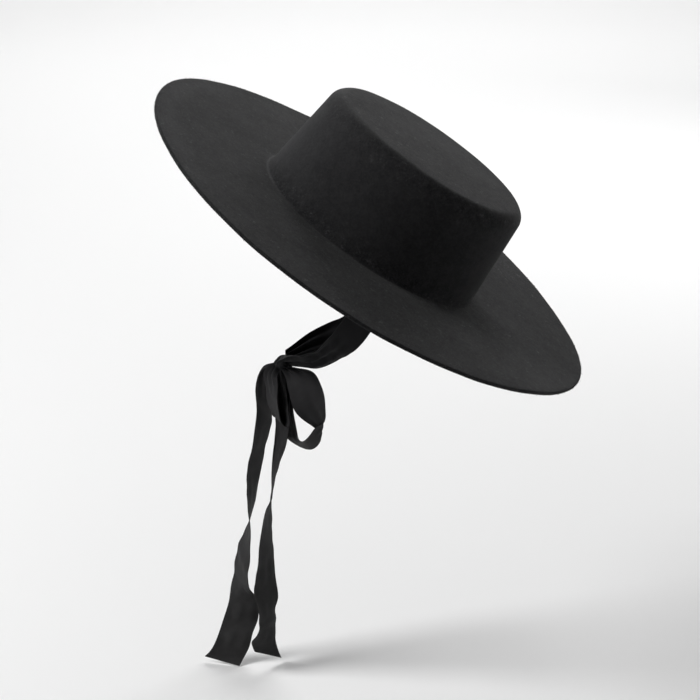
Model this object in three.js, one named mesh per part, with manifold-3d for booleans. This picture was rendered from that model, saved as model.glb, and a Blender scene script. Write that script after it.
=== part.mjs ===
// Wide-brim felt hat with two ribbon chin ties knotted in a bow.
//
// Millimetres. +Z is up, the wearer looks along -Y and the wearer's left is +X.
// The origin is the centre of the head opening, in the plane where crown and brim meet.
// The hat is worn tipped back: the front of the brim is higher than the back.
// The felt body is one blocked piece. Each ribbon runs from inside the crown, down
// beside the jaw and under the chin, through the knot, and ends in a bow loop and a tail.

import * as THREE from 'three';
import Module from 'manifold-3d';
import { mergeVertices } from 'three/addons/utils/BufferGeometryUtils.js';

const TILT = THREE.MathUtils.degToRad(33.7);
const FELT = 3;
const GAP = 0.3;

// Half sizes of the ovals, seen along the hat's own axis. back moves an oval backwards.
const BRIM_EDGE = { length: 199.6, width: 188.2, back: 1.5 };
const CROWN_BASE = { length: 96.4, width: 83, back: 0 };
const CROWN_TOP = { length: 88, width: 72.9, back: 3.6 };
const CROWN_HEIGHT = 81.5;
const CROWN_EDGE_RADIUS = 10;
const CROWN_RISE = 1.5;
const BREAK_RADIUS = 2.5;

// How far the brim's edge rises and falls on its way round, as waves per turn.
const BRIM_WAVES = [
  { turns: 1, cosine: 0, sine: -1.0 },
  { turns: 2, cosine: 0.6, sine: -1.0 },
  { turns: 3, cosine: 0.4, sine: 1.1 },
  { turns: 4, cosine: 0.4, sine: -0.3 },
];
// The wave grows from the crown outwards as this power of the way across the brim.
const WAVE_GROWTH = 1.5;

const RIBBON_THICKNESS = 1;
const ROUND_STEPS = 64;
const RIBBON_STEPS = 40;
const WELD = 1e-4;

const KNOT = { x: 0, y: -72, z: -114, width: 17, depth: 15, height: 14, sides: 16, rows: 10 };

const FELT_BLACK = new THREE.MeshStandardMaterial({ color: 0x151517, roughness: 0.95, metalness: 0 });
const RIBBON_BLACK = new THREE.MeshStandardMaterial({ color: 0x121214, roughness: 0.6, metalness: 0 });

// Ribbon routes. x, y and z are the middle of the ribbon. The ribbon's width lies along
// the direction given by heading (0 is +Y, 90 is +X) and pitch (up from level), in degrees.
// A tie's rows start below the opening: above it, it is sewn flat to the crown's inner wall.
const TIE_SEAT = { angle: 104, heights: [22, 12, 2], width: 27 };
const TIE = [
  { x: 79, y: 15, z: -34, heading: -24, pitch: -42, width: 29 },
  { x: 68, y: 1, z: -63, heading: -54, pitch: -50, width: 30 },
  { x: 62, y: -8, z: -74, heading: -62, pitch: -46, width: 30 },
  { x: 52, y: -21, z: -86, heading: -74, pitch: -45, width: 29 },
  { x: 45, y: -31, z: -95, heading: -81, pitch: -41, width: 28 },
  { x: 38, y: -43, z: -100, heading: -81, pitch: -41, width: 28 },
  { x: 24, y: -57, z: -104, heading: -78, pitch: -39, width: 23 },
  { x: 5, y: -71, z: -109.5, heading: -58, pitch: -28, width: 11 },
];
const TAIL_FRONT = [
  { x: -5, y: -77, z: -115, heading: 62, pitch: 0, width: 10 },
  { x: -15, y: -92, z: -126, heading: 94, pitch: 30, width: 23 },
  { x: -21, y: -95, z: -138, heading: 102, pitch: 23, width: 29 },
  { x: -22, y: -95, z: -154, heading: 101, pitch: 19, width: 30 },
  { x: -22, y: -95, z: -170, heading: 101, pitch: 21, width: 30 },
  { x: -17, y: -99, z: -194, heading: 97, pitch: 23, width: 30 },
  { x: -13, y: -103, z: -219, heading: 95, pitch: 25, width: 30 },
  { x: -11, y: -104, z: -238, heading: 87, pitch: 24, width: 30 },
  { x: -9, y: -105, z: -255, heading: 77, pitch: 16, width: 30 },
  { x: -7, y: -107, z: -270, heading: 64, pitch: 8, width: 30 },
  { x: 0, y: -110, z: -295, heading: 49, pitch: 8, width: 30 },
  { x: 0, y: -111, z: -311, heading: 44, pitch: 9, width: 30 },
  { x: -3, y: -110, z: -319, heading: 30, pitch: 9, width: 30 },
  { x: -7, y: -111, z: -329, heading: 18, pitch: 10, width: 30 },
  { x: -8, y: -114, z: -345, heading: -3, pitch: 3, width: 30 },
  { x: -4, y: -117, z: -354, heading: 4, pitch: 7, width: 30 },
  { x: 1, y: -119, z: -364, heading: -12, pitch: -3, width: 30 },
  { x: 5, y: -122, z: -370, heading: -11, pitch: -6, width: 30 },
  { x: 8, y: -126, z: -376, heading: 10, pitch: -6, width: 32 },
];
const TAIL_BACK = [
  { x: 2.5, y: -72.5, z: -118.4, heading: 57, pitch: 0, width: 10 },
  { x: 4, y: -71, z: -131, heading: 58, pitch: 0, width: 22 },
  { x: 2, y: -73, z: -149, heading: 58, pitch: 0, width: 30 },
  { x: -4, y: -76, z: -178, heading: 56, pitch: 4, width: 30 },
  { x: -1, y: -79, z: -194, heading: 65, pitch: 6, width: 30 },
  { x: 0, y: -82, z: -212, heading: 71, pitch: 8, width: 30 },
  { x: 2, y: -83, z: -227, heading: 77, pitch: 10, width: 30 },
  { x: 3, y: -85, z: -239, heading: 83, pitch: 24, width: 30 },
  { x: 4, y: -87, z: -261, heading: 94, pitch: 23, width: 30 },
  { x: 5, y: -87, z: -281, heading: 102, pitch: 23, width: 30 },
  { x: 5, y: -88, z: -306, heading: 115, pitch: 18, width: 30 },
  { x: 4, y: -87, z: -319, heading: 112, pitch: 15, width: 30 },
  { x: 5, y: -87, z: -335, heading: 101, pitch: 16, width: 30 },
  { x: 6, y: -87, z: -344, heading: 104, pitch: 21, width: 30 },
  { x: 11, y: -86, z: -348, heading: 107, pitch: 22, width: 30 },
  { x: 9, y: -89, z: -356, heading: 126, pitch: 23, width: 30 },
  { x: 4, y: -87, z: -368, heading: 128, pitch: 25, width: 30 },
];
const LOOP_SIDE = [
  { x: 7, y: -69, z: -114.5, heading: 36, pitch: 12, width: 8 },
  { x: 17, y: -55, z: -117, heading: 22, pitch: 18, width: 28 },
  { x: 24, y: -49, z: -126, heading: 13, pitch: 18, width: 30 },
  { x: 28, y: -44, z: -138, heading: 11, pitch: 34, width: 30 },
  { x: 28, y: -40, z: -145, heading: 34, pitch: 36, width: 30 },
  { x: 24, y: -37, z: -152, heading: 53, pitch: 38, width: 30 },
  { x: 16, y: -36, z: -162, heading: 70, pitch: 43, width: 30 },
  { x: 10, y: -43, z: -171, heading: 84, pitch: 43, width: 30 },
  { x: 8, y: -49, z: -178, heading: 81, pitch: 36, width: 30 },
  { x: 4, y: -56, z: -181, heading: 78, pitch: 28, width: 30 },
  { x: 0, y: -62, z: -180, heading: 69, pitch: 27, width: 30 },
  { x: -4, y: -67, z: -176, heading: 56, pitch: 24, width: 30 },
  { x: -7, y: -69, z: -165, heading: 61, pitch: 22, width: 30 },
  { x: -8, y: -71, z: -145, heading: 60, pitch: 14, width: 28 },
  { x: -5, y: -70, z: -131, heading: 60, pitch: 6, width: 18 },
  { x: -2, y: -69, z: -118, heading: 60, pitch: 0, width: 11 },
];
const LOOP_FRONT = [
  { x: 3, y: -77, z: -116, heading: 57, pitch: 0, width: 9 },
  { x: 6, y: -82, z: -121, heading: 57, pitch: 0, width: 20 },
  { x: 5, y: -82, z: -128, heading: 54, pitch: 8, width: 28 },
  { x: 9, y: -80, z: -137, heading: 58, pitch: 7, width: 30 },
  { x: 11, y: -79, z: -145, heading: 58, pitch: 6, width: 30 },
  { x: 13, y: -76, z: -155, heading: 60, pitch: 3, width: 30 },
  { x: 16, y: -71, z: -160, heading: 57, pitch: 0, width: 30 },
  { x: 16, y: -68, z: -155, heading: 57, pitch: 0, width: 30 },
  { x: 12, y: -70, z: -148, heading: 57, pitch: 0, width: 30 },
  { x: 10, y: -71, z: -137, heading: 57, pitch: 0, width: 28 },
  { x: 9, y: -73, z: -126, heading: 57, pitch: 0, width: 20 },
  { x: 5, y: -73, z: -118, heading: 57, pitch: 0, width: 9 },
];

// A closed body from rings of equal length. A ring of one point closes an end.
// From the side numbered flipFrom on, the quads are split along their other diagonal, so
// that the two faces of a twisted strip keep the same distance all the way along.
function ringBody(rings, flipFrom = Infinity) {
  const positions = [];
  const starts = [];
  for (const ring of rings) {
    starts.push(positions.length / 3);
    for (const p of ring) positions.push(p.x, p.y, p.z);
  }
  const faces = [];
  for (let r = 0; r + 1 < rings.length; r += 1) {
    const near = rings[r].length;
    const far = rings[r + 1].length;
    const steps = Math.max(near, far);
    for (let i = 0; i < steps; i += 1) {
      const next = (i + 1) % steps;
      const a = starts[r] + (i % near);
      const b = starts[r] + (next % near);
      const c = starts[r + 1] + (next % far);
      const d = starts[r + 1] + (i % far);
      if (near === 1) faces.push(a, d, c);
      else if (far === 1) faces.push(a, c, b);
      else if (i < flipFrom) faces.push(a, c, b, a, d, c);
      else faces.push(a, d, b, b, d, c);
    }
  }
  const geometry = new THREE.BufferGeometry();
  geometry.setAttribute('position', new THREE.Float32BufferAttribute(positions, 3));
  geometry.setIndex(faces);
  geometry.computeVertexNormals();
  return geometry;
}

function mix(from, to, share) {
  const length = THREE.MathUtils.lerp(from.length, to.length, share);
  const width = THREE.MathUtils.lerp(from.width, to.width, share);
  const back = THREE.MathUtils.lerp(from.back, to.back, share);
  return { length, width, back };
}

function inset(oval, distance) {
  return { length: oval.length - distance, width: oval.width - distance, back: oval.back };
}

function brimWave(angle) {
  let rise = 0;
  for (const wave of BRIM_WAVES) {
    rise += wave.cosine * Math.cos(wave.turns * angle) + wave.sine * Math.sin(wave.turns * angle);
  }
  return rise;
}

// One ring of the hat. share is how much of the brim's wave the ring takes.
function ovalRing(oval, z, share = 0) {
  const ring = [];
  for (let i = 0; i < ROUND_STEPS; i += 1) {
    const angle = (2 * Math.PI * i) / ROUND_STEPS;
    const x = oval.width * Math.sin(angle);
    const y = oval.back - oval.length * Math.cos(angle);
    ring.push(new THREE.Vector3(x, y, z + share * brimWave(angle)));
  }
  return ring;
}

// The crown's wall at a height, moved inwards by a distance.
function crownOval(z, distance) {
  return inset(mix(CROWN_BASE, CROWN_TOP, z / CROWN_HEIGHT), distance);
}

// One face of the felt, from the crown's middle to the brim's edge. depth is 0 on the
// outside and the felt's thickness on the inside.
function hatFace(depth) {
  const rings = [];
  const top = CROWN_HEIGHT - depth;
  const edge = CROWN_EDGE_RADIUS - depth;
  const flat = inset(crownOval(CROWN_HEIGHT, 0), CROWN_EDGE_RADIUS);
  const topRings = [0.45, 0.8];
  rings.push([new THREE.Vector3(0, flat.back, top + CROWN_RISE)]);
  for (const share of topRings) {
    const oval = { length: flat.length * share, width: flat.width * share, back: flat.back };
    rings.push(ovalRing(oval, top + CROWN_RISE * (1 - share ** 2)));
  }
  const edgeSteps = 4;
  for (let i = 0; i <= edgeSteps; i += 1) {
    const turn = (Math.PI / 2) * (i / edgeSteps);
    const z = top - edge * (1 - Math.cos(turn));
    rings.push(ovalRing(crownOval(z, CROWN_EDGE_RADIUS - edge * Math.sin(turn)), z));
  }
  const radius = BREAK_RADIUS + depth;
  const foot = -depth + radius;
  const wallSteps = 3;
  for (let i = 1; i <= wallSteps; i += 1) {
    const z = THREE.MathUtils.lerp(top - edge, foot, i / wallSteps);
    rings.push(ovalRing(crownOval(z, depth), z));
  }
  const breakSteps = 3;
  for (let i = 1; i <= breakSteps; i += 1) {
    const turn = (Math.PI / 2) * (i / breakSteps);
    const z = foot - radius * Math.sin(turn);
    rings.push(ovalRing(crownOval(0, depth - radius * (1 - Math.cos(turn))), z));
  }
  const brimFoot = crownOval(0, depth - radius);
  const brimEnd = inset(BRIM_EDGE, FELT / 2);
  const brimSteps = 4;
  for (let i = 1; i <= brimSteps; i += 1) {
    const share = i / brimSteps;
    rings.push(ovalRing(mix(brimFoot, brimEnd, share), -depth, share ** WAVE_GROWTH));
  }
  return rings;
}

function hatGeometry() {
  const outside = hatFace(0);
  const inside = hatFace(FELT).reverse();
  const rim = ovalRing(BRIM_EDGE, -FELT / 2, 1);
  return ringBody([...outside, rim, ...inside]);
}

// A section of ribbon: its middle, the direction of its width, and its width.
function section(row) {
  const heading = THREE.MathUtils.degToRad(row.heading);
  const pitch = THREE.MathUtils.degToRad(row.pitch);
  const level = Math.cos(pitch);
  const middle = new THREE.Vector3(row.x, row.y, row.z);
  const across = new THREE.Vector3(
    level * Math.sin(heading),
    level * Math.cos(heading),
    Math.sin(pitch),
  );
  return { middle, across, width: row.width };
}

// The stretch of a tie that lies flat on the crown's inner wall, from the top down.
function seatSections() {
  const angle = THREE.MathUtils.degToRad(TIE_SEAT.angle);
  const axis = new THREE.Vector3(1, 0, 0);
  return TIE_SEAT.heights.map((height) => {
    const wall = crownOval(height, FELT);
    const curve = wall.length ** 2 / wall.width;
    const hollow = TIE_SEAT.width ** 2 / (8 * curve);
    const oval = inset(wall, GAP + RIBBON_THICKNESS / 2 + hollow);
    const x = oval.width * Math.sin(angle);
    const y = oval.back - oval.length * Math.cos(angle);
    const middle = new THREE.Vector3(x, y, height);
    const across = new THREE.Vector3(oval.width * Math.cos(angle), oval.length * Math.sin(angle), 0);
    middle.applyAxisAngle(axis, -TILT);
    across.normalize().applyAxisAngle(axis, -TILT);
    return { middle, across, width: TIE_SEAT.width };
  });
}

// A smooth curve through one edge of the sections: -1 and 1 are the edges, 0 is the middle.
function ribbonEdge(sections, side) {
  const points = sections.map(({ middle, across, width }) => (
    middle.clone().addScaledVector(across, (side * width) / 2)));
  return new THREE.CatmullRomCurve3(points, false, 'centripetal');
}

// A flat strip of ribbon. grow makes it bigger on every side, for the slot that holds it.
function ribbonGeometry(sections, grow = 0) {
  const left = ribbonEdge(sections, -1);
  const right = ribbonEdge(sections, 1);
  const middle = ribbonEdge(sections, 0);
  const rings = [];
  const steps = RIBBON_STEPS;
  for (let i = 0; i <= steps; i += 1) {
    const t = i / steps;
    const a = left.getPoint(t);
    const b = right.getPoint(t);
    const across = b.clone().sub(a).normalize();
    const along = middle.getTangent(t);
    const face = along.clone().cross(across).setLength(RIBBON_THICKNESS / 2 + grow);
    const lengthen = (i === steps ? grow : 0) - (i === 0 ? grow : 0);
    a.addScaledVector(across, -grow).addScaledVector(along, lengthen);
    b.addScaledVector(across, grow).addScaledVector(along, lengthen);
    const ring = [a.clone().add(face), b.clone().add(face), b.clone().sub(face), a.clone().sub(face)];
    if (i === 0) rings.push([middleOf(ring)]);
    rings.push(ring);
    if (i === steps) rings.push([middleOf(ring)]);
  }
  return ringBody(rings, 2);
}

function middleOf(ring) {
  const sum = new THREE.Vector3();
  for (const point of ring) sum.add(point);
  return sum.divideScalar(ring.length);
}

function mirrored(sections) {
  const flip = new THREE.Vector3(-1, 1, 1);
  return sections.map(({ middle, across, width }) => (
    { middle: middle.clone().multiply(flip), across: across.clone().multiply(flip), width }));
}

const wasm = await Module();
wasm.setup();

function toSolid(geometry) {
  const bare = geometry.clone();
  bare.deleteAttribute('normal');
  bare.deleteAttribute('uv');
  const merged = mergeVertices(bare, WELD);
  const vertProperties = new Float32Array(merged.getAttribute('position').array);
  const triVerts = new Uint32Array(merged.getIndex().array);
  return new wasm.Manifold(new wasm.Mesh({ numProp: 3, vertProperties, triVerts }));
}

function toGeometry(solid) {
  const mesh = solid.getMesh();
  const geometry = new THREE.BufferGeometry();
  geometry.setAttribute('position', new THREE.Float32BufferAttribute(mesh.vertProperties, 3));
  geometry.setIndex(new THREE.Uint32BufferAttribute(mesh.triVerts, 1));
  geometry.computeVertexNormals();
  return geometry;
}

// The knot: a rounded body with a slot for every ribbon that it grips.
function knotGeometry(ribbons) {
  const ball = new THREE.SphereGeometry(0.5, KNOT.sides, KNOT.rows);
  ball.scale(KNOT.width, KNOT.depth, KNOT.height);
  ball.translate(KNOT.x, KNOT.y, KNOT.z);
  let solid = toSolid(ball);
  for (const sections of ribbons) solid = solid.subtract(toSolid(ribbonGeometry(sections, GAP)));
  return toGeometry(solid);
}

const tie = [...seatSections(), ...TIE.map(section)];
const RIBBONS = {
  tie_left: tie,
  tie_right: mirrored(tie),
  loop_side: LOOP_SIDE.map(section),
  loop_front: LOOP_FRONT.map(section),
  tail_front: TAIL_FRONT.map(section),
  tail_back: TAIL_BACK.map(section),
};

const hat = new THREE.Group();
hat.rotation.x = -TILT;
const body = new THREE.Mesh(hatGeometry(), FELT_BLACK);
body.name = 'hat_body';
hat.add(body);

const model = new THREE.Group();
model.add(hat);
for (const [name, sections] of Object.entries(RIBBONS)) {
  const strip = new THREE.Mesh(ribbonGeometry(sections), RIBBON_BLACK);
  strip.name = name;
  model.add(strip);
}
const knot = new THREE.Mesh(knotGeometry(Object.values(RIBBONS)), RIBBON_BLACK);
knot.name = 'bow_knot';
model.add(knot);

export default model;
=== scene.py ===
# %% [markdown]
# # A wide-brim felt hat with ribbon chin ties
# The hat is blocked from one piece of black felt: a flat-topped crown and a wide, stiff brim.
# It leans back as it is worn. Two black ribbons come out of the crown, meet in a bow under the
# chin and hang down in two twisted tails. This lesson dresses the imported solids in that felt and
# that ribbon. We start with the fixed frame, because every later piece takes its place from it.

# %% Load the fixed frame
import math
import bpy
import numpy as np
from mathutils import Matrix, Vector


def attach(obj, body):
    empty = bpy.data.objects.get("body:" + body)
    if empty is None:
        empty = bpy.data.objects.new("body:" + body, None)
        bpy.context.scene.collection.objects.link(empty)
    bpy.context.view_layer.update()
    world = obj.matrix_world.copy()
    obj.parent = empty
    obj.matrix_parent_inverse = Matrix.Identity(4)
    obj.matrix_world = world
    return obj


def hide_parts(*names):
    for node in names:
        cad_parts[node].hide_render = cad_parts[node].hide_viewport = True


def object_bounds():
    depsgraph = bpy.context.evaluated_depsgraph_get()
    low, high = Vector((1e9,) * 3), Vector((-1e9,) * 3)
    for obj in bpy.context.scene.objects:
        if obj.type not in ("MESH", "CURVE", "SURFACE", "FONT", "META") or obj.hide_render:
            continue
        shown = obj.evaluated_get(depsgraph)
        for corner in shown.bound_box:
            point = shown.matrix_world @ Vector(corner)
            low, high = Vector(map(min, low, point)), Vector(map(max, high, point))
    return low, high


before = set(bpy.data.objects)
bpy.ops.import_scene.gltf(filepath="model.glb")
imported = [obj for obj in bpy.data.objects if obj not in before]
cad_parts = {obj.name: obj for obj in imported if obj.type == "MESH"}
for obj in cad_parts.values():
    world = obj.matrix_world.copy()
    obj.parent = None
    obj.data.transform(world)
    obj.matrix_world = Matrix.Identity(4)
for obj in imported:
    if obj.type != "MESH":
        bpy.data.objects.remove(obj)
cad_box = [list(corner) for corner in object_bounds()]
FLOOR_GAP = 0.0005
floor_height = cad_box[0][2] - FLOOR_GAP
print("CAD box", cad_box)

# %% [markdown]
# ## The camera
# A catalogue picture of a hat is taken with a long lens from a little above, so that the oval of
# the brim opens towards us and nothing looks stretched. The camera stands on the wearer's left,
# slightly behind the shoulder. Two angles and one point describe it completely.

# %% The camera, on the wearer's left and a little above
EYE = Vector((1.717, 0.3695, 0.4055))
VIEW_HEADING = math.radians(102.7)
VIEW_DROP = math.radians(16)
LENS = 117.6
SENSOR = 36

towards_camera = Vector((
    math.sin(VIEW_HEADING) * math.cos(VIEW_DROP),
    -math.cos(VIEW_HEADING) * math.cos(VIEW_DROP),
    math.sin(VIEW_DROP),
))
camera_data = bpy.data.cameras.new("camera")
camera_data.lens = LENS
camera_data.sensor_width = SENSOR
camera = bpy.data.objects.new("camera", camera_data)
camera.location = EYE
camera.rotation_euler = (-towards_camera).to_track_quat("-Z", "Y").to_euler()
bpy.context.scene.collection.objects.link(camera)
bpy.context.scene.camera = camera
print("camera at", tuple(round(c, 3) for c in EYE), "lens", LENS, "mm")

# %% [markdown]
# ## Surfaces from arrays
# Most pieces here are sheets that bend: felt over a block, ribbon over air. Such a shape is a
# function of two parameters, so we work out all its points at once with numpy and only then hand
# them to Blender. Quads join each point to its neighbours in the grid. A closed ring of columns
# wraps round, and a single point at a pole is joined with a fan of triangles.

# %% Faces of a grid, fans for poles, and a mesh from both
SHARP_BEND = math.radians(60)


def grid_quads(rows, columns, first=0, around=False):
    """Quads of a grid numbered row by row from first: (r, c), (r, c+1), (r+1, c+1), (r+1, c).
    With around, the last column is joined to column 0."""
    row = np.arange(rows - 1)[:, None] * columns
    column = np.arange(columns if around else columns - 1)[None, :]
    following = (column + 1) % columns
    corners = [row + column, row + following, row + columns + following, row + columns + column]
    return first + np.stack(np.broadcast_arrays(*corners), axis=-1).reshape(-1, 4)


def pole_fan(pole, first, columns, outward=True):
    """Triangles from one pole to a ring of columns points numbered from first."""
    column = np.arange(columns)
    ring = [first + column, first + (column + 1) % columns]
    if outward:
        ring = ring[::-1]
    return np.stack([np.full(columns, pole), *ring], axis=-1)


def new_piece(name, points, *face_arrays, slot):
    """A mesh object from points (n, 3) and arrays of faces, smooth except at sharp bends."""
    faces = [face for array in face_arrays for face in array.tolist()]
    mesh = bpy.data.meshes.new(name)
    mesh.from_pydata(points.reshape(-1, 3).tolist(), [], faces)
    mesh.shade_smooth()
    mesh.set_sharp_from_angle(angle=SHARP_BEND)
    piece = bpy.data.objects.new(name, mesh)
    bpy.context.scene.collection.objects.link(piece)
    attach(piece, "root")
    print(name, len(points.reshape(-1, 3)), "points,", len(faces), "faces")
    return piece


# %% [markdown]
# ## The felt body
# A hatter steams one cone of felt, pulls it over a crown block and a brim plate, and cuts the
# brim's edge round. So the shape is best described as the hatter's tools describe it: three
# ovals (brim edge, crown foot, crown top), a height, and three radii where the felt bends. Each
# oval is a stretched circle. We carry a profile from the middle of the crown out to the brim's
# edge and back along the inside, and turn it round the ovals.

# %% Sizes of the hat block
TILT = math.radians(33.7)
FELT = 0.003
BRIM_EDGE = np.array([0.1996, 0.1882, 0.0015])      # half length, half width, how far back
CROWN_BASE = np.array([0.0964, 0.0830, 0.0])
CROWN_TOP = np.array([0.0880, 0.0729, 0.0036])
CROWN_HEIGHT = 0.0815
CROWN_EDGE_RADIUS = 0.010
CROWN_RISE = 0.0015
BREAK_RADIUS = 0.0025
CUT_RADIUS = 0.0009
WAVE_GROWTH = 1.5
FELT_UNEVENNESS = 0.00022
SMALLER = np.array([1.0, 1.0, 0.0])

# %% How finely the felt is divided
ROUND_STEPS = 512
ROWS = {"top": 14, "edge": 12, "wall": 24, "foot": 10, "brim": 36, "cut_and_painted_shade": 5}
INSIDE_FINENESS = 0.6
FIRST_RING = 0.02           # the ring nearest to the pole, as a share of the flat top


def quarter(steps):
    """Angles from just above 0 to a quarter turn."""
    return np.linspace(0, math.pi / 2, steps + 1)[1:]


def crown_oval(height, inwards):
    """The crown wall's oval at a height: foot and top mixed by height, then made smaller."""
    share = np.asarray(height)[..., None] / CROWN_HEIGHT
    return CROWN_BASE + (CROWN_TOP - CROWN_BASE) * share - np.asarray(inwards)[..., None] * SMALLER


# %% The profile, as rows of half length, half width, back, height and share of the wave
def profile_rows(ovals, heights, wave=0.0):
    """Stacks ovals (n, 3), heights (n,) and wave shares (n,) into rows of five numbers."""
    heights = np.broadcast_to(heights, len(ovals))
    wave = np.broadcast_to(wave, len(ovals))
    return np.column_stack([ovals, heights, wave])


def felt_face(depth, fineness):
    """One face of the felt from the crown's middle to the brim, depth below the outside.
    Bends are quarter circles: radius * (1 - cos turn) down and radius * sin turn across."""
    top = CROWN_HEIGHT - depth
    flat = crown_oval(CROWN_HEIGHT, CROWN_EDGE_RADIUS)
    share = np.linspace(FIRST_RING, 1, int(ROWS["top"] * fineness))
    disc = np.column_stack([np.outer(share, flat[:2]), np.full(len(share), flat[2])])
    rows = [profile_rows(disc, top + CROWN_RISE * (1 - share ** 2))]
    radius = CROWN_EDGE_RADIUS - depth
    turn = quarter(int(ROWS["edge"] * fineness))
    height = top - radius * (1 - np.cos(turn))
    rows.append(profile_rows(crown_oval(height, CROWN_EDGE_RADIUS - radius * np.sin(turn)), height))
    foot_radius = BREAK_RADIUS + depth
    foot = foot_radius - depth
    height = np.linspace(top - radius, foot, int(ROWS["wall"] * fineness) + 1)[1:]
    rows.append(profile_rows(crown_oval(height, depth), height))
    turn = quarter(int(ROWS["foot"] * fineness))
    height = foot - foot_radius * np.sin(turn)
    opened = depth - foot_radius * (1 - np.cos(turn))
    rows.append(profile_rows(crown_oval(0 * height, opened), height))
    brim_foot = crown_oval(0.0, depth - foot_radius)
    brim_end = BRIM_EDGE - CUT_RADIUS * SMALLER
    share = np.linspace(0, 1, int(ROWS["brim"] * fineness) + 1)[1:, None]
    brim = brim_foot + (brim_end - brim_foot) * share
    rows.append(profile_rows(brim, -depth, share[:, 0] ** WAVE_GROWTH))
    return np.vstack(rows)


def cut_edge():
    """The brim's cut edge: two small quarter circles with a short straight stretch between."""
    turn = quarter(ROWS["cut_and_painted_shade"])
    upper = -CUT_RADIUS * (1 - np.cos(turn))
    out = CUT_RADIUS * (1 - np.sin(turn))
    height = np.concatenate([upper, [-FELT / 2], (-FELT - upper)[::-1]])
    inwards = np.concatenate([out, [0.0], out[::-1]])
    return profile_rows(BRIM_EDGE - inwards[:, None] * SMALLER, height, 1.0)


outside, trimmed, inside = felt_face(0.0, 1.0), cut_edge(), felt_face(FELT, INSIDE_FINENESS)
profile = np.vstack([outside, trimmed, inside[::-1]])
print("profile rows", len(profile))

# %% Turn the profile round the ovals
BRIM_WAVES = [              # turns per round, cosine part and sine part in metres
    (1, 0.0, -0.0010),
    (2, 0.0006, -0.0010),
    (3, 0.0004, 0.0011),
    (4, 0.0004, -0.0003),
]


def brim_wave(angle):
    """How far the brim's edge rises: a sum of cosines and sines of 1 to 4 turns."""
    return sum(c * np.cos(n * angle) + s * np.sin(n * angle) for n, c, s in BRIM_WAVES)


def hand_unevenness(points, size):
    """Small rises of steamed felt, size metres high: two products of sines along slanting
    directions, whose numbers are radians a metre."""
    x, y, z = np.moveaxis(points, -1, 0)
    return size * (
        np.sin(61 * x + 23 * y + 1.1) * np.sin(37 * y - 19 * x + 0.4)
        + 0.6 * np.sin(113 * y + 71 * z + 2.0) * np.sin(97 * x - 41 * z)
    )


def tip(points):
    """Leans points of the hat's own frame back by TILT about X, the way the hat is worn."""
    turn = np.array(Matrix.Rotation(-TILT, 3, "X"))
    return points @ turn.T


def around_ovals(rows, angle):
    """x = half width * sin, y = back - half length * cos, z = height + wave share * wave."""
    length, width, back, height, share = (column[:, None] for column in rows.T)
    x = width * np.sin(angle)
    y = back - length * np.cos(angle)
    z = height + share * brim_wave(angle) + 0 * x
    return np.stack([x, y, z], axis=-1)


angle = np.linspace(0, 2 * math.pi, ROUND_STEPS, endpoint=False)
felt_rings = around_ovals(profile, angle)
felt_rings[..., 2] += hand_unevenness(felt_rings, FELT_UNEVENNESS)
standing = tip(felt_rings)
poles = np.array([
    [0, CROWN_TOP[2], CROWN_HEIGHT + CROWN_RISE],
    [0, CROWN_TOP[2], CROWN_HEIGHT + CROWN_RISE - FELT],
])
count = len(profile) * ROUND_STEPS
hat = new_piece(
    "felt_hat",
    np.vstack([standing.reshape(-1, 3), tip(poles)]),
    grid_quads(len(profile), ROUND_STEPS, around=True)[:, ::-1],
    pole_fan(count, 0, ROUND_STEPS, outward=False),
    pole_fan(count + 1, count - ROUND_STEPS, ROUND_STEPS),
    slot="felt",
)
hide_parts("hat_body")

# %% [markdown]
# Felt shows where it is handled, and light and shade are painted into its colour here too. The
# crease at the crown's foot is lighter at the front: a little dust where the brush misses it, and a
# painted highlight where the crease catches the light. The brim's top near its edge and the crown's
# wall are made lighter at the front as painted light, on the side that faces the lamp, and the upper
# corner of the cut edge is lighter all round. The cut edge itself is darker, as dense felt and as
# painted shade, except at the front, where the light falls on it. The crown's wall is brushed smooth.
# We work these out per point and keep them on the piece, so that the material can read them
# wherever the surface goes.

# %% Where the felt is dusty, rubbed, cut or brushed, and where light and shade are painted on it
FRONT_MIDDLE = math.radians(12)
FRONT_REACH = math.radians(39)
WEAR_AND_PAINTED_SHADING = {                    # strength, metres before the line that it follows, metres it reaches
    # The first row: dust in the crease at the crown's foot, and a painted highlight where the crease
    # catches the light.
    "crease_dust_and_highlight": (0.45, 0.0010, 0.0010),
    # The second row: painted light on the brim's top near its edge, on the front that faces the lamp.
    "flange_painted_light": (0.26, 0.0120, 0.0090),
    "arris": (0.20, 0.0026, 0.0009),
    # The last row: the cut edge darker, as dense felt and as painted shade.
    "cut_and_painted_shade": (1.00, -0.0006, 0.0017),
}
# Painted light: the crown's wall is made lighter at the front, on the side that faces the lamp.
WALL_PAINTED_LIGHT = 0.15
WALL_FADE = 0.02            # metres above the foot in which the brushing fades
# Painted shade: the cut edge is darkened less at the front, where the light falls on it.
CUT_SHADE_LOST_AT_FRONT = 0.85


def bell(distance, reach):
    """1 at distance 0 and falling off as exp(-(distance / reach)^2)."""
    return np.exp(-(distance / reach) ** 2)


def set_attribute(piece, name, values):
    """Stores one number for every point of a piece."""
    layer = piece.data.attributes.new(name, "FLOAT", "POINT")
    layer.data.foreach_set("value", values.astype(np.float32).ravel())


def turned_from(angle, middle):
    """The smallest turn between angle and middle, both in radians."""
    return np.abs((angle - middle + math.pi) % (2 * math.pi) - math.pi)


def along_line(kind, line):
    """A column of one kind of mark (wear, painted light, painted shade): strength * bell(run - line +
    before, reach).
    """
    strength, before, reach = WEAR_AND_PAINTED_SHADING[kind]
    return strength * bell(run - line + before, reach)[:, None]


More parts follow.
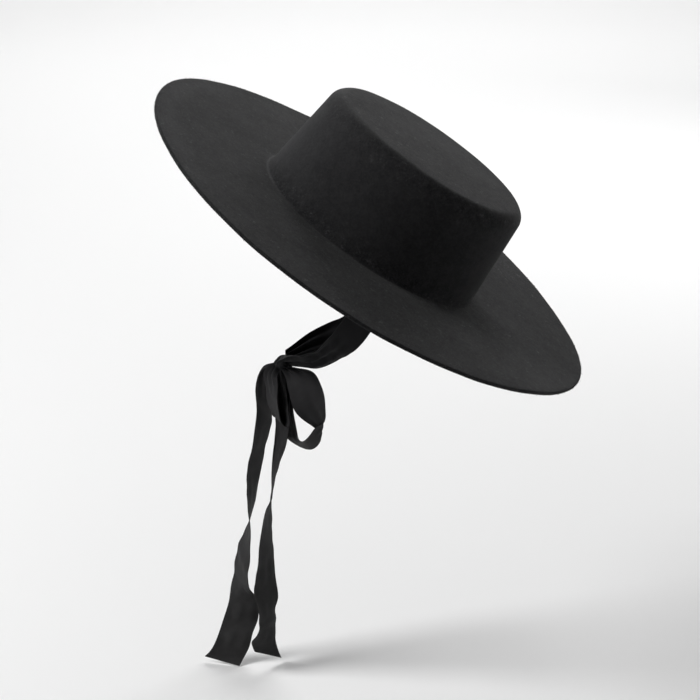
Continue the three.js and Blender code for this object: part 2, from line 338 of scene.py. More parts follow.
run = np.concatenate([[0], np.cumsum(np.linalg.norm(np.diff(profile[:, [0, 3]], axis=0), axis=1))])
foot_row = int(np.argmin(np.abs(outside[:, 0] - CROWN_BASE[0] - BREAK_RADIUS)))
foot_run = run[foot_row]
edge_run = run[len(outside) + len(trimmed) // 2]
on_outside = np.arange(len(profile)) < len(outside)
front = bell(turned_from(angle, FRONT_MIDDLE) ** 2, FRONT_REACH ** 2)
wall = np.clip((foot_run - run) / WALL_FADE, 0, 1) * np.clip(run / foot_run * 4 - 1.5, 0, 1)
brushed = (wall * on_outside)[:, None] + 0 * front
# Dust and painted light: at the front the crease, the brim's top near its edge and the crown's wall are
# made lighter; the edge's upper corner is lighter all round.
wear_and_painted_light = front * on_outside[:, None] * (
    along_line("crease_dust_and_highlight", foot_run) + along_line("flange_painted_light", edge_run) + WALL_PAINTED_LIGHT * wall[:, None]
) + along_line("arris", edge_run)
# Painted shade on the cut edge, together with the felt's own darker cut, mostly left out at the front
# where the light falls.
cut_and_painted_shade = along_line("cut_and_painted_shade", edge_run) * (1 - CUT_SHADE_LOST_AT_FRONT * front)
for name, values in {"wear_and_painted_light": wear_and_painted_light, "cut_and_painted_shade": cut_and_painted_shade, "brushed": brushed}.items():
    set_attribute(hat, name, np.concatenate([values.ravel(), [0, 0]]))
print("dust lies along row", foot_row, "and the cut edge is at", round(float(edge_run), 3), "m")

# %% [markdown]
# The nap itself stands up from the felt. Against the light, along the brim and the crown's bend,
# single hairs break the outline. Each hair is a thin three-sided spike that leans a little
# off the surface. All of them are worked out at once: a random place on the rings, a direction
# near the surface's own, and a length.

# %% Hairs of the nap
HAIR_COUNT = 22000
HAIR_WIDTH = 0.00007
HAIR_LENGTH = 0.0007
LENGTH_SPREAD = 0.0004
SHORTEST_HAIR = 0.0003
ROOT_SCATTER = 0.0006
ROOT_DEPTH = 0.0001
LEAN = 0.75                 # how far a hair leans, as a share of its rise
LEAST_FALL = 0.0002         # a row that falls by more than this has begun the crown's bend
rng = np.random.default_rng(11)


def felt_normals(rings):
    """Outward directions on a closed grid of rings: along the profile crossed with round it."""
    along = np.gradient(rings, axis=0)
    around = np.roll(rings, -1, axis=1) - np.roll(rings, 1, axis=1)
    normal = np.cross(around, along)
    return normal / np.linalg.norm(normal, axis=2, keepdims=True)


def unit(vectors):
    """Vectors made 1 long."""
    return vectors / np.linalg.norm(vectors, axis=-1, keepdims=True)


def spikes(roots, direction, length, width):
    """Closed spikes: a triangle of corners round each root and one tip at root + direction *
    length. Returns the points and the faces."""
    side = unit(np.cross(direction, rng.normal(size=direction.shape)))
    other = np.cross(direction, side)
    turn = np.radians([0, 120, 240])
    corners = [roots + width * (math.cos(t) * side + math.sin(t) * other) for t in turn]
    spike_points = np.stack([*corners, roots + direction * length], axis=1).reshape(-1, 3)
    first = 4 * np.arange(len(roots))[:, None]
    sides = [[0, 2, 1], [0, 1, 3], [1, 2, 3], [2, 0, 3]]
    return spike_points, np.concatenate([first + corner for corner in sides])


bend_run = run[int(np.argmax(np.diff(outside[:, 3]) < -LEAST_FALL))]
growth = (
    bell(run - edge_run, 0.004)
    + 0.25 * bell(run - bend_run - 0.006, 0.008)
    + 0.02 * on_outside * (1 - 0.7 * wall)
)
row = rng.choice(len(profile), HAIR_COUNT, p=growth / growth.sum())
column = rng.integers(0, ROUND_STEPS, HAIR_COUNT)
surface = standing[row, column]
outward = felt_normals(standing)[row, column]
scatter = rng.normal(0, ROOT_SCATTER, (HAIR_COUNT, 3))
roots = surface + scatter - outward * np.sum(scatter * outward, axis=1, keepdims=True)
lean = unit(outward + LEAN * rng.normal(size=(HAIR_COUNT, 3)))
length = np.abs(rng.normal(HAIR_LENGTH, LENGTH_SPREAD, (HAIR_COUNT, 1))) + SHORTEST_HAIR
hair_points, hair_faces = spikes(roots - ROOT_DEPTH * lean, lean, length, HAIR_WIDTH)
nap = new_piece("felt_nap", hair_points, hair_faces, slot="felt")

# %% [markdown]
# ## The ribbons
# A ribbon is woven 30 mm wide, and nothing stretches it: it can only bend, twist and gather. So
# each stretch is described by sections: where its middle is, which way its width points, and how
# wide it is there. Two smooth curves run through the sections' ends, and the cloth spans them.
# Where the knot squeezes the ribbon narrower than it was woven, the spare width stands up in
# pleats, as it does on a real bow.

# %% Sections of every stretch
# Columns: x, y, z of the middle in metres, heading of the width in degrees (0 is +Y, 90 is +X),
# pitch of the width up from level in degrees, width in metres.
TIE = np.array([
    (0.079, 0.015, -0.034, -24, -42, 0.029),
    (0.068, 0.001, -0.063, -54, -50, 0.030),
    (0.062, -0.008, -0.074, -62, -46, 0.030),
    (0.052, -0.021, -0.086, -74, -45, 0.029),
    (0.045, -0.031, -0.095, -81, -41, 0.028),
    (0.038, -0.043, -0.100, -81, -41, 0.028),
    (0.024, -0.057, -0.104, -78, -39, 0.023),
    (0.005, -0.071, -0.1095, -58, -28, 0.011),
])
TAIL_FRONT = np.array([
    (-0.005, -0.077, -0.115, 62, 0, 0.010),
    (-0.015, -0.092, -0.126, 94, 30, 0.023),
    (-0.021, -0.095, -0.138, 102, 23, 0.029),
    (-0.022, -0.095, -0.154, 101, 19, 0.030),
    (-0.022, -0.095, -0.170, 101, 21, 0.030),
    (-0.017, -0.099, -0.194, 97, 23, 0.030),
    (-0.013, -0.103, -0.219, 95, 25, 0.030),
    (-0.011, -0.104, -0.238, 87, 24, 0.030),
    (-0.009, -0.105, -0.255, 77, 16, 0.030),
    (-0.007, -0.107, -0.270, 64, 8, 0.030),
    (0.000, -0.110, -0.295, 49, 8, 0.030),
    (0.000, -0.111, -0.311, 44, 9, 0.030),
    (-0.003, -0.110, -0.319, 30, 9, 0.030),
    (-0.007, -0.111, -0.329, 18, 10, 0.030),
    (-0.008, -0.114, -0.345, -3, 3, 0.030),
    (-0.004, -0.117, -0.354, 4, 7, 0.030),
    (0.001, -0.119, -0.364, -12, -3, 0.030),
    (0.005, -0.122, -0.370, -11, -6, 0.030),
    (0.008, -0.126, -0.376, 10, -6, 0.032),
])
TAIL_BACK = np.array([
    (0.0025, -0.0725, -0.1184, 57, 0, 0.010),
    (0.004, -0.071, -0.131, 58, 0, 0.022),
    (0.002, -0.073, -0.149, 58, 0, 0.030),
    (-0.004, -0.076, -0.178, 56, 4, 0.030),
    (-0.001, -0.079, -0.194, 65, 6, 0.030),
    (0.000, -0.082, -0.212, 71, 8, 0.030),
    (0.002, -0.083, -0.227, 77, 10, 0.030),
    (0.003, -0.085, -0.239, 83, 24, 0.030),
    (0.004, -0.087, -0.261, 94, 23, 0.030),
    (0.005, -0.087, -0.281, 102, 23, 0.030),
    (0.005, -0.088, -0.306, 115, 18, 0.030),
    (0.004, -0.087, -0.319, 112, 15, 0.030),
    (0.005, -0.087, -0.335, 101, 16, 0.030),
    (0.006, -0.087, -0.344, 104, 21, 0.030),
    (0.011, -0.086, -0.348, 107, 22, 0.030),
    (0.009, -0.089, -0.356, 126, 23, 0.030),
    (0.004, -0.087, -0.368, 128, 25, 0.030),
])
LOOP_SIDE = np.array([
    (0.007, -0.069, -0.1145, 36, 12, 0.008),
    (0.017, -0.055, -0.117, 22, 18, 0.028),
    (0.024, -0.049, -0.126, 13, 18, 0.030),
    (0.028, -0.044, -0.138, 11, 34, 0.030),
    (0.028, -0.040, -0.145, 34, 36, 0.030),
    (0.024, -0.037, -0.152, 53, 38, 0.030),
    (0.016, -0.036, -0.162, 70, 43, 0.030),
    (0.010, -0.043, -0.171, 84, 43, 0.030),
    (0.008, -0.049, -0.178, 81, 36, 0.030),
    (0.004, -0.056, -0.181, 78, 28, 0.030),
    (0.000, -0.062, -0.180, 69, 27, 0.030),
    (-0.004, -0.067, -0.176, 56, 24, 0.030),
    (-0.007, -0.069, -0.165, 61, 22, 0.030),
    (-0.008, -0.071, -0.145, 60, 14, 0.028),
    (-0.005, -0.070, -0.131, 60, 6, 0.018),
    (-0.002, -0.069, -0.118, 60, 0, 0.011),
])
LOOP_FRONT = np.array([
    (0.003, -0.077, -0.116, 57, 0, 0.009),
    (0.006, -0.082, -0.121, 57, 0, 0.020),
    (0.005, -0.082, -0.128, 54, 8, 0.028),
    (0.009, -0.080, -0.137, 58, 7, 0.030),
    (0.011, -0.079, -0.145, 58, 6, 0.030),
    (0.013, -0.076, -0.155, 60, 3, 0.030),
    (0.016, -0.071, -0.160, 57, 0, 0.030),
    (0.016, -0.068, -0.155, 57, 0, 0.030),
    (0.012, -0.070, -0.148, 57, 0, 0.030),
    (0.010, -0.071, -0.137, 57, 0, 0.028),
    (0.009, -0.073, -0.126, 57, 0, 0.020),
    (0.005, -0.073, -0.118, 57, 0, 0.009),
])
TIE_SEAT = {"angle": math.radians(104), "heights": [0.022, 0.012, 0.002], "width": 0.027, "gap": 0.0008}


# %% Both edges of a ribbon from its sections
def table_sections(table):
    """Left and right edge points: middle -+ width / 2 along the heading and pitch."""
    middle = table[:, :3]
    heading, pitch = np.radians(table[:, 3]), np.radians(table[:, 4])
    across = np.column_stack([
        np.cos(pitch) * np.sin(heading),
        np.cos(pitch) * np.cos(heading),
        np.sin(pitch),
    ])
    half = across * table[:, 5:] / 2
    return middle - half, middle + half


def seat_sections():
    """The tie's sewn end, flat on the crown's inner wall, as left and right edge points."""
    heights = np.array(TIE_SEAT["heights"])
    wall = crown_oval(heights, FELT)
    hollow = TIE_SEAT["width"] ** 2 / 8 * wall[:, 1] / wall[:, 0] ** 2
    length, width, back = (wall - (TIE_SEAT["gap"] + hollow)[:, None] * SMALLER).T
    sine, cosine = math.sin(TIE_SEAT["angle"]), math.cos(TIE_SEAT["angle"])
    middle = tip(np.column_stack([width * sine, back - length * cosine, heights]))
    across = tip(np.column_stack([width * cosine, length * sine, 0 * heights]))
    across /= np.linalg.norm(across, axis=1, keepdims=True)
    half = across * TIE_SEAT["width"] / 2
    return middle - half, middle + half


def smooth_curve(points, steps):
    """A centripetal Catmull-Rom curve. Each stretch is a cubic from point to point, whose slopes
    come from the neighbours, weighted by the square roots of the distances between them."""
    ends = np.vstack([2 * points[0] - points[1], points, 2 * points[-1] - points[-2]])
    gap = np.sqrt(np.linalg.norm(np.diff(ends, axis=0), axis=1))[:, None]
    place = np.linspace(0, len(points) - 1, steps)
    start = np.minimum(place.astype(int), len(points) - 2)
    w = (place - start)[:, None]
    p0, p1, p2, p3 = (ends[start + k] for k in range(4))
    d0, d1, d2 = (gap[start + k] for k in range(3))
    slope1 = ((p1 - p0) / d0 - (p2 - p0) / (d0 + d1) + (p2 - p1) / d1) * d1
    slope2 = ((p2 - p1) / d1 - (p3 - p1) / (d1 + d2) + (p3 - p2) / d2) * d1
    return (
        (2 * w ** 3 - 3 * w ** 2 + 1) * p1 + (w ** 3 - 2 * w ** 2 + w) * slope1
        + (3 * w ** 2 - 2 * w ** 3) * p2 + (w ** 3 - w ** 2) * slope2
    )


# %% Even steps along a ribbon, and a frame that turns smoothly with it
RIBBON_WIDTH = 0.030
RIBBON_THICKNESS = 0.0005
STEP = 0.001
FINE_STEPS = 1500
SOFTEN_STEPS = 3


def soften(values, reach):
    """Averages neighbours along the ribbon with bell-shaped weights reach steps wide. The ends
    are continued straight on first, so that they stay in place."""
    size = int(3 * reach)
    weight = np.exp(-0.5 * (np.arange(-size, size + 1) / reach) ** 2)
    weight /= weight.sum()
    before = 2 * values[:1] - values[size:0:-1]
    after = 2 * values[-1:] - values[-2:-size - 2:-1]
    longer = np.vstack([before, values, after])
    return np.column_stack([np.convolve(column, weight, "valid") for column in longer.T])


def ribbon_frame(left, right):
    """Resamples both edges to even steps and returns middle, across, normal, width, distance."""
    fine = [smooth_curve(edge, FINE_STEPS) for edge in (left, right)]
    middle = (fine[0] + fine[1]) / 2
    travelled = np.concatenate([[0], np.cumsum(np.linalg.norm(np.diff(middle, axis=0), axis=1))])
    count = int(round(travelled[-1] / STEP)) + 1
    distance = np.linspace(0, travelled[-1], count)
    edges = [
        np.column_stack([np.interp(distance, travelled, column) for column in edge.T])
        for edge in fine
    ]
    left, right = (soften(edge, SOFTEN_STEPS) for edge in edges)
    middle = (left + right) / 2
    width = np.linalg.norm(right - left, axis=1)
    across = (right - left) / width[:, None]
    along = np.gradient(middle, axis=0)
    normal = np.cross(along, across)
    normal /= np.linalg.norm(normal, axis=1, keepdims=True)
    return middle, across, normal, width, distance


# %% [markdown]
# A woven strip has two faces, two thick woven edges and two ends. We lift its middle surface by
# pleats, soft folds and a little unevenness, then place one grid of points half a thickness
# above it and one below. Narrow strips of quads close the edges and the ends.

# %% The lift of the cloth from its middle surface
PLEAT_COUNT = 5
PLEAT_SHARE = 0.75
CLOTH_UNEVENNESS = 0.00022


def pleats(side, width, share):
    """A zigzag of PLEAT_COUNT half waves, softened to a cosine. Spare cloth stands up, so its
    height is sqrt(woven^2 - width^2) / (2 * PLEAT_COUNT), times the share that is gathered."""
    spare = np.sqrt(np.maximum(RIBBON_WIDTH ** 2 - width ** 2, 0)) / (2 * PLEAT_COUNT)
    zigzag = np.cos(math.pi * PLEAT_COUNT * (side[None, :] + 1) / 2)
    return (PLEAT_SHARE * share * spare)[:, None] * zigzag


def folds(side, distance, table):
    """Soft slanting folds. Each is depth * bell((distance - at - slant * side) / reach)."""
    total = np.zeros((len(distance), len(side)))
    for at, slant, reach, depth in table:
        total += depth * bell(distance[:, None] - at - slant * side[None, :], reach)
    return total


def unevenness(side, distance, seed):
    """Slow waves of handled cloth, under a millimetre high. The numbers beside the distance are
    radians a metre, and seed moves the waves."""
    v, s = distance[:, None], side[None, :]
    return CLOTH_UNEVENNESS * (
        np.sin(190 * v + 1.3 * s + seed)
        + np.sin(87 * v - 2.1 * s + 2.3 * seed)
        + 0.7 * np.sin(310 * v + 3.1 * s * np.sin(60 * v + seed) + 0.7 * seed)
    )


# %% A closed strip of ribbon
ACROSS_STEPS = 33
SELVEDGE_SWELL = 0.35       # how much thicker the woven edge is, as a share
SELVEDGE_REACH = 0.05       # how far in it reaches, as a share of half the width
HEM_STEP = 0.0006           # metres in which the hem's double cloth begins


def ribbon_piece(name, node, sections, fold_table=(), gather=None, hem=0.0, seed=0.0):
    middle, across, normal, width, distance = ribbon_frame(*sections)
    side = np.sin(np.linspace(-math.pi / 2, math.pi / 2, ACROSS_STEPS))
    share = np.ones(len(distance)) if gather is None else gather(distance)
    lift = pleats(side, width, share) + folds(side, distance, fold_table)
    lift += unevenness(side, distance, seed) * share[:, None]
    surface = (
        middle[:, None] + across[:, None] * (side[None, :, None] * width[:, None, None] / 2)
        + normal[:, None] * lift[..., None]
    )
    selvedge = 1 + SELVEDGE_SWELL * bell(1 - np.abs(side), SELVEDGE_REACH)
    half = np.tile(RIBBON_THICKNESS / 2 * selvedge, (len(distance), 1))
    if hem:
        turned = (1 + np.tanh((distance - distance[-1] + hem) / HEM_STEP)) / 2
        half *= (1 + turned)[:, None]
    offset = normal[:, None] * half[..., None]
    rows, columns = half.shape
    points = np.concatenate([(surface + offset).reshape(-1, 3), (surface - offset).reshape(-1, 3)])
    top = np.arange(rows * columns).reshape(rows, columns)
    bottom = top + rows * columns

    def band(a, b):
        return np.stack([a[:-1], a[1:], b[1:], b[:-1]], axis=-1)

    piece = new_piece(
        name,
        points,
        grid_quads(rows, columns)[:, ::-1],
        grid_quads(rows, columns, first=rows * columns),
        band(top[:, 0], bottom[:, 0])[:, ::-1],
        band(top[:, -1], bottom[:, -1]),
        band(top[0], bottom[0]),
        band(top[-1], bottom[-1])[:, ::-1],
        slot="ribbon",
    )
    woven = np.tile((side + 1) * RIBBON_WIDTH / 2, (rows, 1))
    length_map = np.tile(distance[:, None], (1, columns))
    weave_map = np.stack([woven, length_map], axis=-1).reshape(-1, 2)
    set_uv(piece, np.concatenate([weave_map, weave_map]))
    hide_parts(node)
    print("  ribbon", round(float(distance[-1]) * 1000), "mm long")
    return piece


def set_uv(piece, uv):
    """Gives every face corner the woven position of its point, in metres."""
    layer = piece.data.uv_layers.new(name="weave")
    corner = np.empty(len(piece.data.loops), dtype=np.int32)
    piece.data.loops.foreach_get("vertex_index", corner)
    layer.data.foreach_set("uv", uv[corner].astype(np.float32).ravel())


# %% [markdown]
# ## The ties
# Each tie is sewn flat inside the crown, hangs down beside the jaw, and gathers as it comes to
# the knot. The right one is the left one mirrored, so its sections only need their x turned round.

# %% The two ties
GATHER = (0.06, 0.10)       # metres from the sewn end between which the cloth starts to gather


def step_up(start, end):
    """A share that rises smoothly from 0 at start to 1 at end, distances in metres."""
    def share(distance):
        t = np.clip((distance - start) / (end - start), 0, 1)
        return t * t * (3 - 2 * t)
    return share


seat, free = seat_sections(), table_sections(TIE)
tie_edges = [np.vstack(pair) for pair in zip(seat, free)]
mirror = np.array([-1, 1, 1])
tie_folds = [               # at, slant, reach and depth in metres
    (0.110, 0.010, 0.006, 0.0012),
    (0.128, -0.008, 0.005, -0.0010),
]
tie_left = ribbon_piece(
    "ribbon_tie_left", "tie_left", tie_edges, tie_folds, step_up(*GATHER), seed=0.4)
tie_right = ribbon_piece(
    "ribbon_tie_right", "tie_right", [edge * mirror for edge in tie_edges], tie_folds,
    step_up(*GATHER), seed=2.4)

# %% [markdown]
# ## The bow
# Two loops and two tails leave the knot. The tails are long and light, so they twist slowly as
# they hang, and their ends are turned over and pressed into a narrow hem.

# %% Loops and tails
HEM = 0.0045
loop_side = ribbon_piece("ribbon_loop_side", "loop_side", table_sections(LOOP_SIDE), seed=1.0)
loop_front = ribbon_piece("ribbon_loop_front", "loop_front", table_sections(LOOP_FRONT), seed=3.0)
front_folds = [             # at, slant, reach and depth in metres, as for the ties
    (0.186, 0.010, 0.007, 0.0016),
    (0.214, 0.012, 0.006, -0.0012),
]
tail_front = ribbon_piece(
    "ribbon_tail_front", "tail_front", table_sections(TAIL_FRONT), front_folds, hem=HEM, seed=5.0)
back_folds = [
    (0.205, -0.006, 0.006, 0.0012),
    (0.224, 0.004, 0.004, -0.0010),
]
tail_back = ribbon_piece(
    "ribbon_tail_back", "tail_back", table_sections(TAIL_BACK), back_folds, hem=HEM, seed=7.0)

# %% [markdown]
# ## The knot
# The knot is ribbon wound round itself: a soft lump, longer across than it is deep, with creases
# that run the way the ribbon is wound. It is a ball whose radius falls at each crease.

# %% The knot
KNOT_CENTRE = np.array([0.0, -0.072, -0.114])
KNOT_HALF = np.array([0.0085, 0.0075, 0.0070])
KNOT_ROWS, KNOT_COLUMNS = 60, 96
KNOT_CREASES = 3
CREASE_DEPTH = 0.09


def knot_points(rows, columns):
    """A ball with its poles on the X axis. The radius falls by CREASE_DEPTH in KNOT_CREASES
    valleys that run round the X axis and drift sideways as they go."""
    lean = np.linspace(0, math.pi, rows + 2)[1:-1, None]
    turn = np.linspace(0, 2 * math.pi, columns, endpoint=False)[None, :]
    drift = 0.35 * np.sin(turn) + 0.2 * np.sin(2 * turn + 1)
    crease = np.cos(KNOT_CREASES * 2 * (lean + drift * np.sin(lean))) ** 2
    radius = 1 - CREASE_DEPTH * crease * np.sin(lean)
    square = np.abs(np.cos(lean)) ** 0.8 * np.sign(np.cos(lean)) + 0 * turn
    ball = np.stack([
        radius * square,
        radius * np.sin(lean) * np.cos(turn),
        radius * np.sin(lean) * np.sin(turn),
    ], axis=-1)
    ends = np.array([[1.0, 0, 0], [-1.0, 0, 0]])
    return KNOT_CENTRE + KNOT_HALF * np.vstack([ball.reshape(-1, 3), ends])


wound = knot_points(KNOT_ROWS, KNOT_COLUMNS)
knot_first_pole = KNOT_ROWS * KNOT_COLUMNS
knot = new_piece(
    "ribbon_knot",
    wound,
    grid_quads(KNOT_ROWS, KNOT_COLUMNS, around=True)[:, ::-1],
    pole_fan(knot_first_pole, 0, KNOT_COLUMNS, outward=False),
    pole_fan(knot_first_pole + 1, knot_first_pole - KNOT_COLUMNS, KNOT_COLUMNS),
    slot="ribbon",
)
set_uv(knot, (wound - KNOT_CENTRE)[:, :2])
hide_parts("bow_knot")

# %% [markdown]
# ## Shader maths
# Blender's materials are graphs of nodes. Arithmetic is easier to read as an expression, so a
# small class wraps a socket and turns + - * into Math nodes. Every other node comes from one
# method, which sets the node's own settings first and then its sockets.

# %% A socket that can be calculated with
class Value:
    """A number worked out by a shader. Arithmetic on it adds Math nodes."""

    def __init__(self, shader, socket):
        self.shader = shader
        self.socket = socket

    def math(self, operation, first, second):
        """A Math node of two values."""
        return self.shader.node("Math", {"operation": operation}, {0: first, 1: second})

    def __add__(self, other):
        return self.math("ADD", self, other)

    def __sub__(self, other):
        return self.math("SUBTRACT", self, other)

    def __rsub__(self, other):
        return self.math("SUBTRACT", other, self)

    def __mul__(self, other):
        return self.math("MULTIPLY", self, other)

    __radd__ = __add__
    __rmul__ = __mul__


class Shader:
    """A new material and the one way in which nodes are added to it."""

    def __init__(self, name):
        self.material = bpy.data.materials.new(name)
        self.material.use_nodes = True
        self.tree = self.material.node_tree
        self.tree.nodes.clear()

    def node(self, kind, settings=None, sockets=None, output=0):
        """Adds a ShaderNode of this kind and returns one output as a Value."""
        node = self.tree.nodes.new("ShaderNode" + kind)
        for name, value in (settings or {}).items():
            setattr(node, name, value)
        for name, value in (sockets or {}).items():
            if isinstance(value, Value):
                self.tree.links.new(value.socket, node.inputs[name])
            else:
                node.inputs[name].default_value = value
        return Value(self, node.outputs[output])

    def place(self):
        """Where a point is in the object's own frame, in metres."""
        return self.node("TexCoord", output="Object")

    def part(self, vector, axis):
        """The X, Y or Z of a vector."""
        return self.node("SeparateXYZ", {}, {0: vector}, output=axis)

    def attribute(self, name):
        """The number of this name that is stored on the piece's points."""
        return self.node("Attribute", {"attribute_name": name}, output="Fac")

    def wave(self, distance, per_metre):
        """A sine with this many turns a metre."""
        return self.node("Math", {"operation": "SINE"}, {0: distance * (per_metre * 2 * math.pi)})

    def noise(self, vector, scale, detail=2.0, roughness=0.5):
        """Blender's noise, from 0 to 1, with scale bumps a metre."""
        sockets = {"Vector": vector, "Scale": scale, "Detail": detail, "Roughness": roughness}
        return self.node("TexNoise", {}, sockets, output="Fac")

    def ramp(self, value, low, high):
        """0 below low, 1 above high and straight between."""
        sockets = {"Value": value, "From Min": low, "From Max": high}
        return self.node("MapRange", {"clamp": True}, sockets)

    def blend(self, share, first, second):
        """Mixes two colours by a share."""
        settings = {"data_type": "RGBA"}
        return self.node("Mix", settings, {0: share, 6: first, 7: second}, output=2)

    def bump(self, height, strength, distance):
        """A normal that leans as if the surface rose by height * distance metres."""
        sockets = {"Height": height, "Strength": strength, "Distance": distance}
        return self.node("Bump", {}, sockets, output="Normal")

    def finish(self, sockets):
        """The main shader node and the material's output."""
        surface = self.node("BsdfPrincipled", {}, sockets)
        output = self.tree.nodes.new("ShaderNodeOutputMaterial")
        self.tree.links.new(surface.socket, output.inputs["Surface"])
        return self.material


# %% [markdown]
# ## Felt
# Felt has no weave. It is matted hair: dull, with a short nap that catches light at a shallow
# angle, a faint cloudiness where the steam and the brush left it, and light flecks and scuffs
# where hairs have come loose. A rough surface gives the dullness and sheen gives the nap. Noise
# of four sizes gives clouds, tufts, mats and hairs, and the same noise in a bump lifts them. On
# the brushed wall of the crown all of it is weaker.

# %% The felt
FELT_DEEP = (0.0060, 0.0060, 0.0070, 1)
FELT_RAISED = (0.0235, 0.0232, 0.0242, 1)
FELT_WEAR_AND_PAINTED_LIGHT = (0.07, 0.07, 0.073, 1)
FELT_CUT_AND_PAINTED_SHADE = (0.005, 0.005, 0.0052, 1)
FELT_LOOSE = (0.10, 0.10, 0.102, 1)


def felt_material():
    """Black felt: noise chooses between deep and raised hair, then wear with painted light, the cut
    edge with painted shade, and flecks go on.
    """
    shader = Shader("black_felt")
    place = shader.place()
    clouds = shader.noise(place, 42, detail=3)
    hair = shader.noise(place, 1100, detail=4, roughness=0.7)
    mat = shader.noise(place, 560, detail=2, roughness=0.6)
    tufts = shader.noise(place, 190, detail=2)
    flecks = shader.ramp(shader.noise(place, 620, detail=2), 0.58, 0.78)
    scuffs = shader.ramp(shader.noise(place, 150, detail=4, roughness=0.75), 0.60, 0.70)
    brushed, wear_and_painted_light, cut_and_painted_shade = (shader.attribute(name) for name in ("brushed", "wear_and_painted_light", "cut_and_painted_shade"))
    uneven = shader.ramp(clouds * 0.25 + tufts * 0.25 + mat * 0.3 + hair * 0.2, 0.42, 0.58)
    raised = uneven * (1 - brushed * 0.55) + brushed * 0.25
    black = shader.blend(raised, FELT_DEEP, FELT_RAISED)
    # Dust and painted light make the colour lighter.
    wear_and_painted_light_colour = shader.blend(wear_and_painted_light * (0.5 + mat), black, FELT_WEAR_AND_PAINTED_LIGHT)
    # The cut edge is darkened: dense felt and painted shade.
    dense_and_painted_shade = shader.blend(cut_and_painted_shade * 0.6, wear_and_painted_light_colour, FELT_CUT_AND_PAINTED_SHADE)
    loose = (flecks * 0.35 + scuffs * 0.45) * (1 - brushed * 0.88)
    colour = shader.blend(loose, dense_and_painted_shade, FELT_LOOSE)
    relief = (hair * 0.4 + mat * 0.4 + tufts * 0.2) * (1 - brushed * 0.6)
    normal = shader.bump(relief, 0.35, 0.0005)
    return shader.finish({
        "Base Color": colour,
        "Roughness": 0.95,
        "Specular IOR Level": 0.1,
        "Sheen Weight": 0.078,
        "Sheen Roughness": 0.6,
        "Sheen Tint": (1, 1, 1, 1),
        "Normal": normal,
    })


# %% The hairs, and dressing a piece
HAIR_DARK = (0.012, 0.012, 0.013, 1)
HAIR_LIGHT = (0.05, 0.05, 0.052, 1)


def dress(material, *pieces):
    """Gives each piece one material."""
    for piece in pieces:
        piece.data.materials.clear()
        piece.data.materials.append(material)
    print(material.name, "on", [piece.name for piece in pieces])


def nap_material():
    """Single hairs: the felt's dye on them is thinner, so they are lighter."""
    shader = Shader("felt_hair")
    shade = shader.noise(shader.place(), 300, detail=1)
    colour = shader.blend(shade, HAIR_DARK, HAIR_LIGHT)
    return shader.finish({"Base Color": colour, "Roughness": 0.8, "Specular IOR Level": 0.1})


dress(felt_material(), hat)
dress(nap_material(), nap)

# %% [markdown]
# ## Ribbon
# The ribbon is a thin, close weave with fine ribs across it, and almost matt. Its pattern has
# to follow the cloth as it bends, so it reads the woven position that each piece carries. Shade
# and light are painted into its colour by height: it is darkest in the ties and the knot, as
# painted shade where the brim shades them, and lighter towards the ends of the tails, as
# painted light where they hang in the light.

# %% The ribbon
RIBS_PER_METRE = 1400
THREADS_PER_METRE = 2600
KNOT_DEPTH = (0.108, 0.124)         # metres below the origin, from the knot to the loops, where the painted shade gives way
TAIL_DEPTH = (0.150, 0.320)         # where the painted light on the tails begins and is complete
RIBBON_PAINTED_SHADE = (0.0085, 0.0085, 0.0092, 1)
RIBBON_MIDDLE_BLACK = (0.0220, 0.0216, 0.0226, 1)
RIBBON_PAINTED_LIGHT = (0.0350, 0.0345, 0.0350, 1)
RIBBON_CLOUD = (0.0040, 0.0040, 0.0043, 1)


def ribbon_material():
    """Ribbed black ribbon: three blacks by height that paint shade on the knot and ties and light on
    the tails, darker clouds, and ribs, threads and slubs.
    """
    shader = Shader("black_ribbon")
    woven = shader.node("UVMap", {"uv_map": "weave"})
    rib = shader.wave(shader.part(woven, "Y"), RIBS_PER_METRE)
    thread = shader.wave(shader.part(woven, "X"), THREADS_PER_METRE)
    place = shader.place()
    clouds = shader.noise(place, 160, detail=2)
    slub = shader.noise(place, 1500, detail=2)
    below = 0 - shader.part(place, "Z")
    # Painted shade and light by height: darker at the knot and ties, lighter down the tails.
    black = shader.blend(shader.ramp(below, *KNOT_DEPTH), RIBBON_PAINTED_SHADE, RIBBON_MIDDLE_BLACK)
    painted_light_by_height = shader.blend(shader.ramp(below, *TAIL_DEPTH), black, RIBBON_PAINTED_LIGHT)
    colour = shader.blend(clouds * 0.3, painted_light_by_height, RIBBON_CLOUD)
    normal = shader.bump(rib * 0.5 + thread * 0.2 + slub * 0.6, 0.25, 0.0002)
    return shader.finish({
        "Base Color": colour,
        "Roughness": 0.5 + 0.15 * slub,
        "Specular IOR Level": 0.03,
        "Sheen Weight": 0.01,
        "Sheen Roughness": 0.4,
        "Normal": normal,
    })


ribbon_pieces = [tie_left, tie_right, loop_side, loop_front, tail_front, tail_back, knot]
dress(ribbon_material(), *ribbon_pieces)

# %% [markdown]
# ## Stage and light
# The hat stands on nothing: it is held as a head would hold it, over a pale floor that the tails
# just reach. The floor is a wide disc that curves up into a wall far away, so it has no
# edge from any side. The key light is large and soft, above and in front of the hat. A rim light
# from the far side picks out the brim, a weak fill and a pale room lift the shadows, and the other
# lights point down or away from the hat and only brighten the stage.

# %% A round pale stage
STAGE_FLAT = 4.0
STAGE_CURVE = 2.5
STAGE_COLUMNS = 96
CURVE_ROWS = 24
PAPER_WHITE = (0.86, 0.86, 0.86, 1)


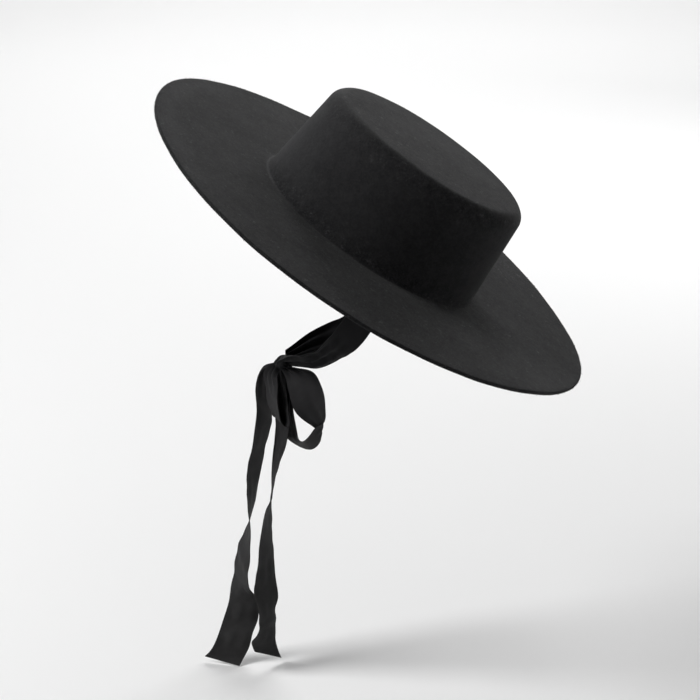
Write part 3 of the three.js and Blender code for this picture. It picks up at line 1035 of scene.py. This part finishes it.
def stage_points(columns):
    """Rings of a bowl: flat to STAGE_FLAT, then a quarter circle up of radius STAGE_CURVE."""
    turn = np.linspace(0, math.pi / 2, CURVE_ROWS)
    reach = np.concatenate([[0.5, 1.5, 3.0], STAGE_FLAT + STAGE_CURVE * np.sin(turn)])
    rise = np.concatenate([[0.0, 0.0, 0.0], STAGE_CURVE * (1 - np.cos(turn))])
    around = np.linspace(0, 2 * math.pi, columns, endpoint=False)
    x = reach[:, None] * np.cos(around)
    y = reach[:, None] * np.sin(around)
    z = floor_height + rise[:, None] + 0 * x
    return np.stack([x, y, z], axis=-1)


stage_rings = stage_points(STAGE_COLUMNS)
stage_quads = grid_quads(len(stage_rings), STAGE_COLUMNS, around=True)
stage_fan = pole_fan(stage_rings.size // 3, 0, STAGE_COLUMNS, outward=False)[:, ::-1]
stage_all = np.vstack([stage_rings.reshape(-1, 3), [[0, 0, floor_height]]])
stage_mesh = bpy.data.meshes.new("stage")
stage_mesh.from_pydata(stage_all.tolist(), [], stage_quads.tolist() + stage_fan.tolist())
stage_mesh.shade_smooth()
stage = bpy.data.objects.new("stage", stage_mesh)
bpy.context.scene.collection.objects.link(stage)
paper = Shader("pale_paper")
dress(paper.finish({"Base Color": PAPER_WHITE, "Roughness": 0.9}), stage)

# %% Lights
LIGHTS = [                  # name, place, size in metres, watts, what it is aimed at
    ("key", (0.66, -1.80, 1.51), 1.2, 56, (0, 0, 0)),
    ("ground", (-3.41, -0.77, 2.6), 2.0, 98, (-3.41, -0.77, -0.4)),
    ("rim", (-2.13, 0.77, 0.96), 1.2, 16, (0, 0, 0)),
    ("fill", (1.09, 1.09, 1.74), 1.2, 1, (0, 0, 0)),
]
WASH_HEADINGS = (77, 167, -13)
WASH_REACH, WASH_HEIGHT = 3.0, 2.6
WALL_REACH, WALL_HEIGHT = 5.6, 0.1
WASH_SIZE, WASH_WATTS = 2.0, 30
WASH_SPREAD = math.radians(100)
ROOM_LIGHT = 0.03


def soft_light(name, place, size, watts, aim):
    """A square light of this size in metres at a place, facing aim."""
    data = bpy.data.lights.new(name, "AREA")
    data.size = size
    data.energy = watts
    light = bpy.data.objects.new(name, data)
    light.location = place
    direction = Vector(aim) - Vector(place)
    light.rotation_euler = direction.to_track_quat("-Z", "Y").to_euler()
    bpy.context.scene.collection.objects.link(light)
    return light


for light in LIGHTS:
    soft_light(*light)
for heading in WASH_HEADINGS:
    across, ahead = math.sin(math.radians(heading)), math.cos(math.radians(heading))
    stand = (WASH_REACH * across, WASH_REACH * ahead, WASH_HEIGHT)
    wall_spot = (WALL_REACH * across, WALL_REACH * ahead, WALL_HEIGHT)
    wash = soft_light(f"wash_{heading}", stand, WASH_SIZE, WASH_WATTS, wall_spot)
    wash.data.spread = WASH_SPREAD
world = bpy.data.worlds.new("room")
bpy.context.scene.world = world
world.use_nodes = True
room = world.node_tree.nodes["Background"]
room.inputs["Color"].default_value = (1, 1, 1, 1)
room.inputs["Strength"].default_value = ROOM_LIGHT
bpy.context.scene.view_settings.view_transform = "Standard"
print("stage and lights ready")
